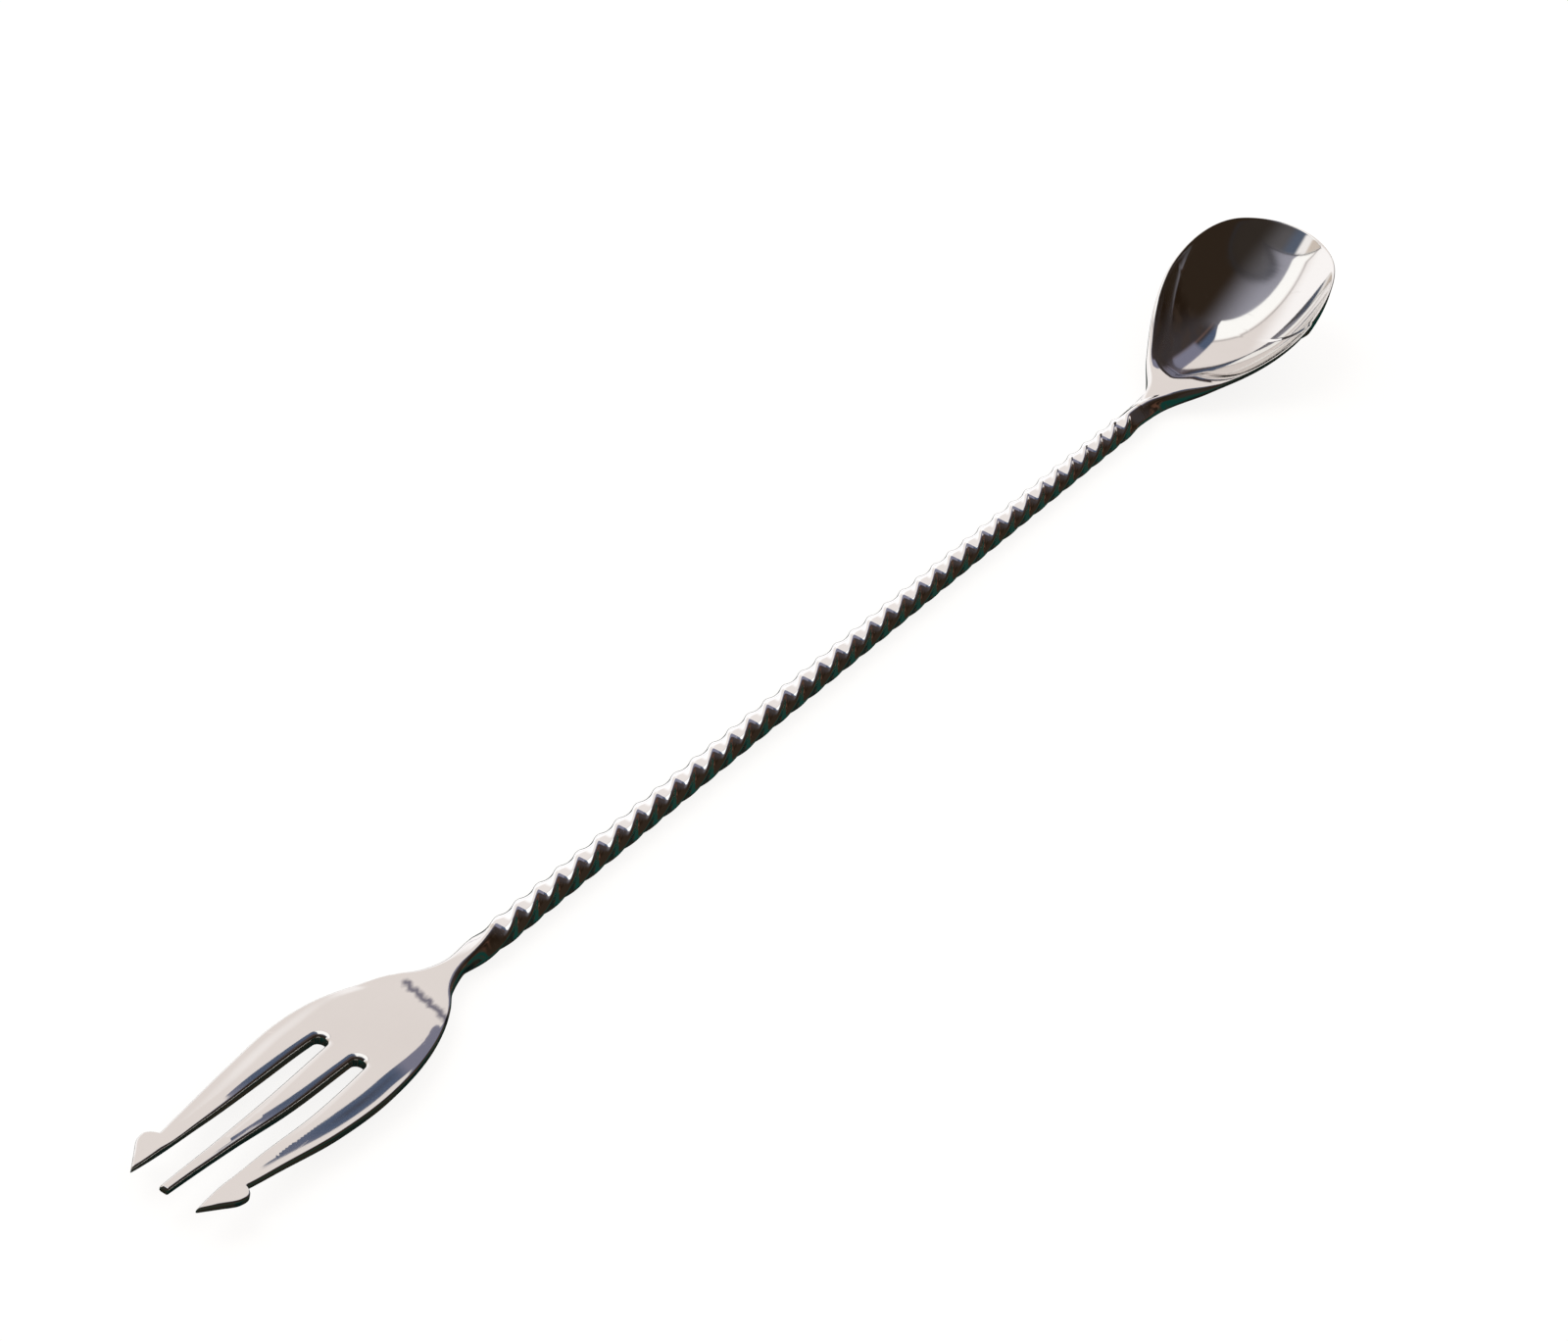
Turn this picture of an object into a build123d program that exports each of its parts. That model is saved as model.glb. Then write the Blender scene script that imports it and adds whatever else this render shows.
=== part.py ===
from build123d import *
import os
from math import sqrt

# A trident bar spoon, in millimetres: a twisted square shank with a three-tined fork welded to one
# end and a bowl to the other. X runs along the spoon from the fork to the bowl, Y across it, and Z
# is up. The origin is under the middle of the spoon, on the plane that the shank's corners rest on.

# ---------------------------------------------------------------- driving dimensions
overall_length = 320.0

bar_side = 3.0                  # square stock of the shank, across flats
bar_corner_radius = 0.15
quarter_turns = 37              # left-hand twist, a whole number so that both ends stay level
quarter_turn_length = 5.08
twist_centre_x = 9.26           # the twisted stretch lies a little nearer to the bowl
straight_end_length = 1.6       # untwisted end of the bar, up to each weld
weld_width = 1.0

blade_width = 19.0              # fork blade at its widest
blade_thickness = 1.85
tine_tip_thickness = 1.2
slot_end_x = -121.8             # round closed end of both slots
slot_end_width = 2.0
slot_offset = 3.05              # centre of each slot's closed end from the spoon's middle

bowl_width = 27.0
bowl_centre_x = 140.0           # where the bowl is widest
bowl_depth = 8.8                # from the rim straight down to the inside
bowl_wall = 1.1
rim_height = 0.9                # wall's height at its trimmed edge
rim_rise = 13.6                 # tip of the rim above the shank's top
rim_level_x = 155.2             # where the rim has risen and levels off

# ---------------------------------------------------------------- what follows from them
half_length = overall_length / 2
half_side = bar_side / 2
corner_reach = (half_side - bar_corner_radius) * sqrt(2) + bar_corner_radius
axis_z = corner_reach           # the shank's axis, above the plane that its corners rest on

twist_length = quarter_turns * quarter_turn_length
twist_start_x = twist_centre_x - twist_length / 2
twist_end_x = twist_centre_x + twist_length / 2
shank_start_x = twist_start_x - straight_end_length
shank_end_x = twist_end_x + straight_end_length
fork_root_x = shank_start_x - weld_width
bowl_root_x = shank_end_x + weld_width

fork_tip_x = -half_length
bowl_tip_x = half_length


def bar_plane(x):
    """The plane across the shank at x, facing the bowl."""
    return Plane(origin=(x, 0, axis_z), x_dir=(0, 1, 0), z_dir=(1, 0, 0))


def smoothstep(t):
    """An S-curve from 0 to 1 that leaves and arrives level."""
    t = min(max(t, 0.0), 1.0)
    return t * t * (3 - 2 * t)


# ---------------------------------------------------------------- shank
with BuildPart() as shank:
    with BuildLine() as shank_axis:
        Line((twist_start_x, 0, axis_z), (twist_end_x, 0, axis_z))
    with BuildLine() as twist_guide:
        Helix(
            pitch=4 * quarter_turn_length,
            height=twist_length,
            radius=corner_reach,
            center=(twist_start_x, 0, axis_z),
            direction=(1, 0, 0),
            lefthand=True,
        )
    with BuildSketch(bar_plane(twist_start_x)):
        RectangleRounded(bar_side, bar_side, bar_corner_radius)
    sweep(path=shank_axis.wires()[0], binormal=twist_guide.edges()[0])
    with BuildSketch(bar_plane(shank_start_x), bar_plane(twist_end_x)):
        RectangleRounded(bar_side, bar_side, bar_corner_radius)
    extrude(amount=straight_end_length)

# ---------------------------------------------------------------- welds, dressed flush with the bar
with BuildPart() as fork_weld:
    with BuildSketch(bar_plane(fork_root_x)):
        RectangleRounded(bar_side, bar_side, bar_corner_radius)
    extrude(amount=weld_width)

with BuildPart() as bowl_weld:
    with BuildSketch(bar_plane(shank_end_x)):
        RectangleRounded(bar_side, bar_side, bar_corner_radius)
    extrude(amount=weld_width)

# ---------------------------------------------------------------- fork
# Half of the blade in plan, from its root to the tips. The outer tines end in a barb on their
# outer edge and a slanted point on their inner edge, and the middle tine ends blunt.
slot_end_radius = slot_end_width / 2
slot_mouth_x = slot_end_x - slot_end_radius
neck_waist = (-96.5, 1.66)
shoulder = [(-100.2, 2.7), (-104.2, 4.95), (-110.2, 7.25), (-117.0, 8.85)]
blade_side = [(-134.5, 9.0), (-144.5, 7.8)]
barb_notch = (-151.8, 6.85)
barb_back = [(-152.1, 7.4), (-153.1, 8.2), (-154.6, 8.15), (-156.9, 6.95)]
outer_tip = (fork_tip_x, 5.06)
outer_tine_inner_edge = [(-146.0, 4.48), (-134.0, 4.52)]
middle_tine_edge = [(-134.0, 1.66), (-148.0, 0.98)]
middle_tip = (fork_tip_x + 0.1, 0.62)

# Heights above the shank's axis. The blade lies flat under its slot ends and curves up to the tips.
flat_start_x = -119.0
flat_end_x = -136.0
flat_top = 2.4
curl_x = -147.0
curl_top = 3.05
tip_top = 3.6
waist_top = 1.45
waist_extra_thickness = 0.35    # the neck is still thicker than the blade at its waist
hollow_x = -103.0
hollow_top = 1.3                # the blade dips a little where the neck runs into it


def above_axis(x, height):
    """A point of the side profile, from its height above the shank's axis."""
    return (x, axis_z + height)


with BuildPart() as fork:
    with BuildSketch(Plane.XY) as fork_plan:
        with BuildLine():
            outer_edge = Spline(
                (fork_root_x, half_side),
                neck_waist,
                *shoulder,
                (-124.4, blade_width / 2),
                *blade_side,
                barb_notch,
                tangents=[(-1, 0), (-1, -0.16)],
            )
            Spline(outer_edge @ 1, *barb_back)
            Line(barb_back[-1], outer_tip)
            slot_outer_side = Spline(
                outer_tip,
                *outer_tine_inner_edge,
                (slot_mouth_x, slot_offset + slot_end_radius),
                tangents=[(1, -0.12), (1, -0.08)],
            )
            slot_end = ThreePointArc(
                slot_outer_side @ 1,
                (slot_end_x, slot_offset),
                (slot_mouth_x, slot_offset - slot_end_radius),
            )
            slot_inner_side = Spline(
                slot_end @ 1,
                *middle_tine_edge,
                middle_tip,
                tangents=[(-1, -0.03), (-1, -0.02)],
            )
            Polyline(
                slot_inner_side @ 1,
                (middle_tip[0], 0),
                (fork_root_x, 0),
                (fork_root_x, half_side),
            )
        make_face()
        mirror(about=Plane.XZ)
    extrude(amount=axis_z + 2 * tip_top)
    with BuildSketch(Plane.XZ) as fork_profile:
        with BuildLine():
            root_top = above_axis(fork_root_x, half_side)
            root_bottom = above_axis(fork_root_x, -half_side)
            top_neck = Spline(
                root_top,
                above_axis(neck_waist[0], waist_top),
                above_axis(hollow_x, hollow_top),
                above_axis(flat_start_x, flat_top),
                tangents=[(-1, 0), (-1, 0)],
            )
            top_flat = Line(top_neck @ 1, above_axis(flat_end_x, flat_top))
            top_tip = Spline(
                top_flat @ 1,
                above_axis(curl_x, curl_top),
                above_axis(fork_tip_x, tip_top),
                tangents=[(-1, 0), (-1, 0.03)],
            )
            Line(top_tip @ 1, above_axis(fork_tip_x, tip_top - tine_tip_thickness))
            bottom_tip = Spline(
                above_axis(fork_tip_x, tip_top - tine_tip_thickness),
                above_axis(curl_x, curl_top - (blade_thickness + tine_tip_thickness) / 2),
                above_axis(flat_end_x, flat_top - blade_thickness),
                tangents=[(1, -0.06), (1, 0)],
            )
            bottom_flat = Line(bottom_tip @ 1, above_axis(flat_start_x, flat_top - blade_thickness))
            bottom_neck = Spline(
                bottom_flat @ 1,
                above_axis(hollow_x, hollow_top - blade_thickness),
                above_axis(neck_waist[0], waist_top - blade_thickness - waist_extra_thickness),
                root_bottom,
                tangents=[(1, 0), (1, 0)],
            )
            Line(root_bottom, root_top)
        make_face()
    extrude(amount=blade_width, both=True, mode=Mode.INTERSECT)

# ---------------------------------------------------------------- bowl
# The bowl is a wall between two surfaces that are circular arcs across the spoon. They are lofted
# wider than the rim and trimmed to the rim's outline in plan: a flared neck, then half an ellipse.
bowl_half_width = bowl_width / 2
bowl_tip_length = bowl_tip_x - bowl_centre_x
hollow_start_x = 109.0
wall_thin_x = 132.0             # from here on the middle of the bowl has the sheet's thickness
edge_thin_x = 126.0             # and from here on its rim has
overlap = 0.9                   # how far the lofted wall reaches past the outline before it is trimmed
tip_overlap = 1.0
tip_taper = 0.75                # the lofted width narrows less than the outline does
least_sagitta = 0.02
trim_margin = 5.0               # how far the trimming prism reaches past the bowl, up and down


def rim_half_width(x):
    """Half the bowl's width in plan."""
    if x > bowl_centre_x:
        along = min((x - bowl_centre_x) / bowl_tip_length, 1.0)
        return bowl_half_width * sqrt(1 - along * along)
    along = max((x - bowl_root_x) / (bowl_centre_x - bowl_root_x), 0.0)
    return half_side + (bowl_half_width - half_side) * smoothstep(along**0.93)


def rim_z(x):
    """Height of the rim: an S-curve that starts slowly and levels off towards the tip."""
    along = max((x - bowl_root_x) / (rim_level_x - bowl_root_x), 0.0)
    return axis_z + half_side + rim_rise * smoothstep(along**1.28)


def hollow_depth(x):
    """Depth of the inside below the rim, on the spoon's middle. It is negative past the tip."""
    if x > bowl_centre_x:
        along = (x - bowl_centre_x) / bowl_tip_length
        return bowl_depth * (1 - along * along)
    return bowl_depth * smoothstep((x - hollow_start_x) / (bowl_centre_x - hollow_start_x))


def wall_thickness(x):
    """Thickness on the spoon's middle: the bar's at the weld, the bowl's sheet from its hollow on."""
    thinning = smoothstep((x - bowl_root_x) / (wall_thin_x - bowl_root_x))
    return bar_side + (bowl_wall - bar_side) * thinning


def edge_thickness(x):
    """Height of the wall at its trimmed edge."""
    thinning = smoothstep((x - bowl_root_x) / (edge_thin_x - bowl_root_x))
    return bar_side + (rim_height - bar_side) * thinning


def arc_radius(half_width, sagitta):
    """Radius of the arc that falls by sagitta between its middle and its ends."""
    return (half_width**2 + sagitta**2) / (2 * sagitta)


def arc_height(radius, y):
    """How far an arc of this radius has risen at y from its middle."""
    return radius - sqrt(radius * radius - y * y)


def inside_arc(x):
    """Radius across the spoon of the inside surface, and its height on the middle."""
    depth = hollow_depth(x)
    if x > bowl_centre_x:
        radius = bowl_half_width**2 / (2 * bowl_depth) + depth / 2
    else:
        depth = max(depth, least_sagitta)
        radius = arc_radius(rim_half_width(x), depth)
    return radius, rim_z(x) - depth


def outside_arc(x):
    """The same for the underside, which meets the trimmed edge below the inside."""
    inside_radius, inside_z = inside_arc(x)
    extra = wall_thickness(x) - edge_thickness(x)
    if x > bowl_centre_x:
        return inside_radius + bowl_wall, inside_z - bowl_wall
    depth = max(hollow_depth(x), least_sagitta) + extra
    return arc_radius(rim_half_width(x), depth), inside_z - wall_thickness(x)


def lofted_half_width(x):
    """Half the width that the wall is lofted to, everywhere outside the outline and round the tip."""
    if x > bowl_centre_x:
        along = (x - bowl_centre_x) / bowl_tip_length
        return bowl_half_width * sqrt(1 - tip_taper * along * along) + overlap
    return rim_half_width(x) + overlap


def wall_section(x):
    """Closed section of the wall across the spoon at x, wider than the outline."""
    half_width = lofted_half_width(x)
    inside_radius, inside_z = inside_arc(x)
    outside_radius, outside_z = outside_arc(x)
    inside_edge = inside_z + arc_height(inside_radius, half_width)
    outside_edge = outside_z + arc_height(outside_radius, half_width)
    with BuildSketch(Plane(origin=(x, 0, 0), x_dir=(0, 1, 0), z_dir=(1, 0, 0))) as section:
        with BuildLine():
            ThreePointArc((-half_width, inside_edge), (0, inside_z), (half_width, inside_edge))
            Line((half_width, inside_edge), (half_width, outside_edge))
            ThreePointArc((half_width, outside_edge), (0, outside_z), (-half_width, outside_edge))
            Line((-half_width, outside_edge), (-half_width, inside_edge))
        make_face()
    return section.sketch


def stations(start, end, count):
    """Evenly spaced places along X, both ends included."""
    return [start + (end - start) * i / (count - 1) for i in range(count)]


section_stations = stations(bowl_root_x, bowl_tip_x + tip_overlap, 18)
outline_stations = stations(bowl_root_x, bowl_centre_x, 9)

with BuildPart() as bowl:
    loft(sections=[wall_section(x) for x in section_stations])
    with BuildSketch(Plane.XY.offset(-trim_margin)) as bowl_plan:
        with BuildLine():
            Spline(
                *[(x, rim_half_width(x)) for x in outline_stations],
                tangents=[(1, 0), (1, 0)],
            )
            EllipticalCenterArc(
                (bowl_centre_x, 0), bowl_tip_length, bowl_half_width, start_angle=0, arc_size=90
            )
            Polyline((bowl_tip_x, 0), (bowl_root_x, 0), (bowl_root_x, half_side))
        make_face()
        mirror(about=Plane.XZ)
    extrude(amount=rim_rise + axis_z + 4 * trim_margin, mode=Mode.INTERSECT)

# ---------------------------------------------------------------- write the parts
os.makedirs("parts", exist_ok=True)
pieces = {
    "fork": fork,
    "fork_weld": fork_weld,
    "shank": shank,
    "bowl_weld": bowl_weld,
    "bowl": bowl,
}
for name, piece in pieces.items():
    piece.part.label = name
    export_step(piece.part, f"parts/{name}.step")
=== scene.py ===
from math import atan2, cos, pi, radians, sin, sqrt

import bmesh
import bpy
import numpy as np
from mathutils import Matrix, Vector
from mathutils.geometry import delaunay_2d_cdt


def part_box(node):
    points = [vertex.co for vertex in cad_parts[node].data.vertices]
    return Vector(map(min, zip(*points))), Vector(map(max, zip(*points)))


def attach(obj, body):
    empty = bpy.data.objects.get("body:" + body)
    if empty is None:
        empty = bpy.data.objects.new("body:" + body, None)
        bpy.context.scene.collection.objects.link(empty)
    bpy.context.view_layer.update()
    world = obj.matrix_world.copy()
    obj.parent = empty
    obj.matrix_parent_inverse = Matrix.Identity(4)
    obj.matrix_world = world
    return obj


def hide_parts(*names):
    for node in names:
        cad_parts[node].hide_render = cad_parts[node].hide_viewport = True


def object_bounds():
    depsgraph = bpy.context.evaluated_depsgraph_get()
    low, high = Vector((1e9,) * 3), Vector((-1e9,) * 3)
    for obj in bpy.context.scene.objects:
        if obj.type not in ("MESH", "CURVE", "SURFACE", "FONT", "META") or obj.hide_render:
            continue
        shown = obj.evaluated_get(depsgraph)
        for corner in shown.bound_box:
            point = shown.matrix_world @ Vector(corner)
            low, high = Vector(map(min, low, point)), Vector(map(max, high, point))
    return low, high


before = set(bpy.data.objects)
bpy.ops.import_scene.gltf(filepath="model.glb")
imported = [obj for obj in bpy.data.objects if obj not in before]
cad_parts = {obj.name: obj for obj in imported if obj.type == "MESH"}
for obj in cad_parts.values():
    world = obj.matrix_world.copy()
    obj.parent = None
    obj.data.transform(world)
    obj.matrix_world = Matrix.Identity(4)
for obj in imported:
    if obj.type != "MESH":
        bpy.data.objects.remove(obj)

# A twisted bar spoon in polished stainless steel. Shapes are worked out in millimetres in the
# frame's axes: X from the fork to the bowl, Y across, Z up. The meshes are made in metres.
MM = 0.001
cad_low, cad_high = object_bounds()


# ---------------------------------------------------------------- sizes from the frame
def box_mm(node):
    """Low and high corner of a CAD node, in millimetres."""
    low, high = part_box(node)
    return low / MM, high / MM


shank_low, shank_high = box_mm("shank")
fork_low, fork_high = box_mm("fork")
bowl_low, bowl_high = box_mm("bowl")
_, weld_high = box_mm("fork_weld")

HALF_SIDE = weld_high.y         # half the side of the square that the welds and both roots have
AXIS_Z = (shank_low.z + shank_high.z) / 2
FORK_ROOT, FORK_TIP = fork_high.x, fork_low.x
BOWL_ROOT, BOWL_TIP = bowl_low.x, bowl_high.x
BLADE_HALF_WIDTH = fork_high.y
BOWL_HALF_WIDTH = bowl_high.y


# ---------------------------------------------------------------- small helpers
MERGE_MM = 0.0005               # vertices closer than this are one
ROUNDING_ROWS = 6               # rows of points over a rounded edge


def smoothstep(t):
    """An S-curve from 0 to 1 that leaves and arrives level."""
    t = min(max(t, 0.0), 1.0)
    return t * t * (3 - 2 * t)


def smoothsteps(t):
    """The same curve for a whole array."""
    t = np.clip(t, 0, 1)
    return t * t * (3 - 2 * t)


def mix(a, b, t):
    """From a at 0 to b at 1."""
    return a + (b - a) * t


def spline_points(points, start, end, step):
    """Points along a smooth curve through these points, with its directions at both ends."""
    points = [Vector(p) for p in points]
    spans = [(b - a).length for a, b in zip(points, points[1:])]
    tangents = [Vector(start).normalized()]
    for i in range(1, len(points) - 1):
        before = (points[i] - points[i - 1]) / spans[i - 1]
        after = (points[i + 1] - points[i]) / spans[i]
        blend = before * spans[i] + after * spans[i - 1]
        tangents.append(blend / (spans[i - 1] + spans[i]))
    tangents.append(Vector(end).normalized())
    found = []
    for i, span in enumerate(spans):
        count = max(2, round(span / step))
        for k in range(count):
            t = k / count
            found.append(
                points[i] * (2 * t**3 - 3 * t**2 + 1)
                + tangents[i] * (span * (t**3 - 2 * t**2 + t))
                + points[i + 1] * (3 * t**2 - 2 * t**3)
                + tangents[i + 1] * (span * (t**3 - t**2))
            )
    return found + [points[-1]]


def quarter_round(distance, radius):
    """How far a rounded edge has dropped, at this distance in from the edge."""
    inside = np.clip(1 - distance / radius, 0, 1)
    return radius * (1 - np.sqrt(np.maximum(1 - inside * inside, 0)))


def make_mesh(name, vertices, faces):
    """A smooth-shaded mesh object in metres, from millimetres."""
    mesh = bpy.data.meshes.new(name)
    mesh.from_pydata([tuple(c * MM for c in v) for v in vertices], [], faces)
    mesh.validate()
    mesh.polygons.foreach_set("use_smooth", [True] * len(mesh.polygons))
    made = bpy.data.objects.new(name, mesh)
    bpy.context.scene.collection.objects.link(made)
    return made


def clean_mesh(obj, ends):
    """Joins doubled vertices, points all faces outwards and keeps the faces across X at ends crisp."""
    close = MERGE_MM * MM
    work = bmesh.new()
    work.from_mesh(obj.data)
    bmesh.ops.remove_doubles(work, verts=work.verts, dist=close)
    bmesh.ops.dissolve_degenerate(work, edges=work.edges, dist=close)
    bmesh.ops.recalc_face_normals(work, faces=work.faces)
    for face in work.faces:
        if any(all(abs(v.co.x - end * MM) < close for v in face.verts) for end in ends):
            face.smooth = False
            for edge in face.edges:
                edge.smooth = False
    work.to_mesh(obj.data)
    work.free()


# ---------------------------------------------------------------- twisted bar
# The twist stops just inside each end of the bar, at a slant. In the fork's neck the last side stays
# slanted, and in the bowl's neck it eases back to level.
QUARTER_TURNS = 37
STRAIGHT_END = 1.6
SLOW_FROM_FORK = -84.0          # the twist slows from here towards the fork
FORK_SLANT = 0.62               # radians
SLOW_FROM_BOWL = 100.4          # and from here towards the bowl
SLOW_LENGTH = 2.0
ROOT_KEEP = 0.6                 # this much of each root keeps the bar's section
FORK_BLENDED_X = -98.5          # the fork has its own section from ROOT_KEEP past here
BOWL_LEVEL_X = 119.0            # the bowl's neck is level from here, and its own from ROOT_KEEP on
RIDGE_RADIUS = 0.62
RING_STEP = 0.2
LEAST_RINGS = 4
SIDE_POINTS = 8
CORNER_POINTS = 8

CORNER_REACH = (shank_high.z - shank_low.z) / 2
BAR_HALF_SIDE = (CORNER_REACH - RIDGE_RADIUS) / sqrt(2) + RIDGE_RADIUS
twist_start = shank_low.x + STRAIGHT_END
twist_end = shank_high.x - STRAIGHT_END
quarter_length = (twist_end - twist_start) / QUARTER_TURNS
twist_rate = pi / 2 / quarter_length
full_rate_turn = pi / 2 + twist_rate * (SLOW_FROM_FORK - twist_start)
fork_still_x = SLOW_FROM_FORK - 2 * (full_rate_turn - FORK_SLANT) / twist_rate


def fork_turn(x):
    """The bar's angle at x, counted from level in the fork's neck."""
    if x <= fork_still_x:
        return FORK_SLANT
    if x < SLOW_FROM_FORK:
        slowing = SLOW_FROM_FORK - fork_still_x
        return FORK_SLANT + twist_rate * (x - fork_still_x) ** 2 / (2 * slowing)
    return pi / 2 + twist_rate * (x - twist_start)


def bowl_turn(x):
    """The same angle, counted from level in the bowl's neck."""
    if x < SLOW_FROM_BOWL:
        return pi / 2 + twist_rate * (x - twist_end)
    into = min(x - SLOW_FROM_BOWL, SLOW_LENGTH)
    turn = pi / 2 + twist_rate * (SLOW_FROM_BOWL - twist_end + into - into**2 / (2 * SLOW_LENGTH))
    eased = SLOW_FROM_BOWL + SLOW_LENGTH
    return turn * (1 - smoothstep((x - eased) / (BOWL_LEVEL_X - eased)))


def bar_reach(angle):
    """Distance from the axis to the surface of the level bar, in this direction."""
    off_flat = (angle + pi / 4) % (pi / 2) - pi / 4
    inner = BAR_HALF_SIDE - RIDGE_RADIUS
    if BAR_HALF_SIDE * abs(sin(off_flat) / cos(off_flat)) <= inner:
        return BAR_HALF_SIDE / cos(off_flat)
    off_corner = pi / 4 - abs(off_flat)
    across = inner * sqrt(2)
    return across * cos(off_corner) + sqrt(RIDGE_RADIUS**2 - (across * sin(off_corner)) ** 2)


def bar_point(x, angle, turn):
    """A point of the bar's surface. The twist is left-hand, so the bar turns clockwise along X."""
    reach = bar_reach(angle)
    return Vector((x, reach * cos(angle - turn), AXIS_Z + reach * sin(angle - turn)))


def ring_angles():
    """Directions round the bar, close together at its corners."""
    inner = BAR_HALF_SIDE - RIDGE_RADIUS
    angles = []
    for corner in range(4):
        for k in range(CORNER_POINTS):
            a = pi / 2 * k / (CORNER_POINTS - 1)
            up = inner + RIDGE_RADIUS * sin(a)
            across = inner + RIDGE_RADIUS * cos(a)
            angles.append(atan2(up, across) + corner * pi / 2)
        for k in range(1, SIDE_POINTS + 1):
            along = inner - 2 * inner * k / (SIDE_POINTS + 1)
            angles.append(atan2(BAR_HALF_SIDE, along) + corner * pi / 2)
    return angles


def build_bar(name, start, end):
    """A stretch of the twisted bar between two places along X."""
    angles = ring_angles()
    count = len(angles)
    whole_turn = fork_turn(SLOW_FROM_BOWL) - bowl_turn(SLOW_FROM_BOWL)
    rings = max(LEAST_RINGS, round((end - start) / RING_STEP))
    vertices = []
    for i in range(rings + 1):
        x = mix(start, end, i / rings)
        turn = fork_turn(x) if x < SLOW_FROM_BOWL else bowl_turn(x) + whole_turn
        vertices += [bar_point(x, angle, turn) for angle in angles]
    faces = [
        (i * count + k, i * count + (k + 1) % count,
         (i + 1) * count + (k + 1) % count, (i + 1) * count + k)
        for i in range(rings) for k in range(count)
    ]
    faces.append(tuple(range(count)))
    faces.append(tuple(rings * count + k for k in range(count)))
    made = make_mesh(name, vertices, faces)
    clean_mesh(made, (start, end))
    return made


# ---------------------------------------------------------------- bowl
BOWL_CENTRE = 140.0
BOWL_DEPTH = 8.8
HOLLOW_START = 109.0
RIM_RISE = 13.6
RIM_LEVEL = 155.2
RIM_RISE_POWER = 1.28           # over 1, so the rim rises late
FLARE_POWER = 0.93              # under 1, so the neck widens early
WALL = 1.1
WALL_THIN = 132.0
RIM_EDGE = 0.9
EDGE_THIN = 126.0
LEAST_DEPTH = 0.02
LAND_AT_NECK = 0.8              # width of the flat land inside the rim
LAND_AT_TIP = 0.26
LAND_NARROWS_FROM = 122.0
LAND_NARROWS_LENGTH = 26.0
LAND_SOFTNESS = 0.22
NEAR_LAND = 0.1                 # the near side has almost no land, and a soft lip
NEAR_SOFTNESS = 1.3
NEAR_FROM_Y = 1.0
NEAR_WIDTH = 3.5
LEAST_HALF_WIDTH = 0.5
RIM_MARGIN = 1.2                # past this many half widths the top is level with the rim
HOLLOW_EDGE = 115.2             # the hollow ends here, in a rounded lip, and the neck's top is level
HOLLOW_EASE_FAR = 8.5
HOLLOW_EASE_NEAR = 14.0
NECK_TOP_ROUNDING = 1.4
NECK_UNDER_ROUNDING = 0.7
RIM_TOP_ROUNDING = 0.2
RIM_UNDER_ROUNDING = 0.34
NECK_END = 113.0                # the neck's rounded edges fade into the rim's from here
NECK_FADE = 12.0
FAN_POLE = 149.0                # sections run straight across up to here, and fan out beyond it
SIDE_SECTIONS = 190
FAN_SECTIONS = 130
INSET_COUNT = 40
INSET_POWER = 1.25
RIM_ROWS = 6
LEAST_LEAN = 0.3


def rim_half_width(x):
    """Half the bowl's width in plan."""
    if x > BOWL_CENTRE:
        along = min((x - BOWL_CENTRE) / (BOWL_TIP - BOWL_CENTRE), 1.0)
        return BOWL_HALF_WIDTH * sqrt(1 - along * along)
    along = max((x - BOWL_ROOT) / (BOWL_CENTRE - BOWL_ROOT), 0.0)
    return HALF_SIDE + (BOWL_HALF_WIDTH - HALF_SIDE) * smoothstep(along**FLARE_POWER)


def rim_z(x):
    """Height of the rim."""
    along = max((x - BOWL_ROOT) / (RIM_LEVEL - BOWL_ROOT), 0.0)
    return AXIS_Z + HALF_SIDE + RIM_RISE * smoothstep(along**RIM_RISE_POWER)


def hollow_depth(x):
    """Depth of the hollow below the rim, on the spoon's middle."""
    if x > BOWL_CENTRE:
        along = (x - BOWL_CENTRE) / (BOWL_TIP - BOWL_CENTRE)
        return BOWL_DEPTH * (1 - along * along)
    return BOWL_DEPTH * smoothstep((x - HOLLOW_START) / (BOWL_CENTRE - HOLLOW_START))


def wall_thickness(x):
    """Thickness on the spoon's middle."""
    thinning = smoothstep((x - BOWL_ROOT) / (WALL_THIN - BOWL_ROOT))
    return mix(2 * HALF_SIDE, WALL, thinning)


def edge_thickness(x):
    """Thickness at the rim."""
    thinning = smoothstep((x - BOWL_ROOT) / (EDGE_THIN - BOWL_ROOT))
    return mix(2 * HALF_SIDE, RIM_EDGE, thinning)


def arc_radius(half_width, sagitta):
    """Radius of the arc that rises by sagitta over half_width."""
    return (half_width**2 + sagitta**2) / (2 * sagitta)


def arc_z(radius, middle_z, y):
    """Height at y of an arc across the spoon with its lowest point at middle_z."""
    return middle_z + radius - sqrt(max(radius * radius - y * y, 0.0))


def land_width(x):
    """The flat land inside the rim, widest beside the neck."""
    narrowing = smoothstep((x - LAND_NARROWS_FROM) / LAND_NARROWS_LENGTH)
    return mix(LAND_AT_NECK, LAND_AT_TIP, narrowing)


def soft_least(a, b, softness):
    """The smaller of two heights, with the corner between them rounded."""
    gap = max(softness - abs(a - b), 0.0) / softness
    return min(a, b) - gap * gap * softness / 4


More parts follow.
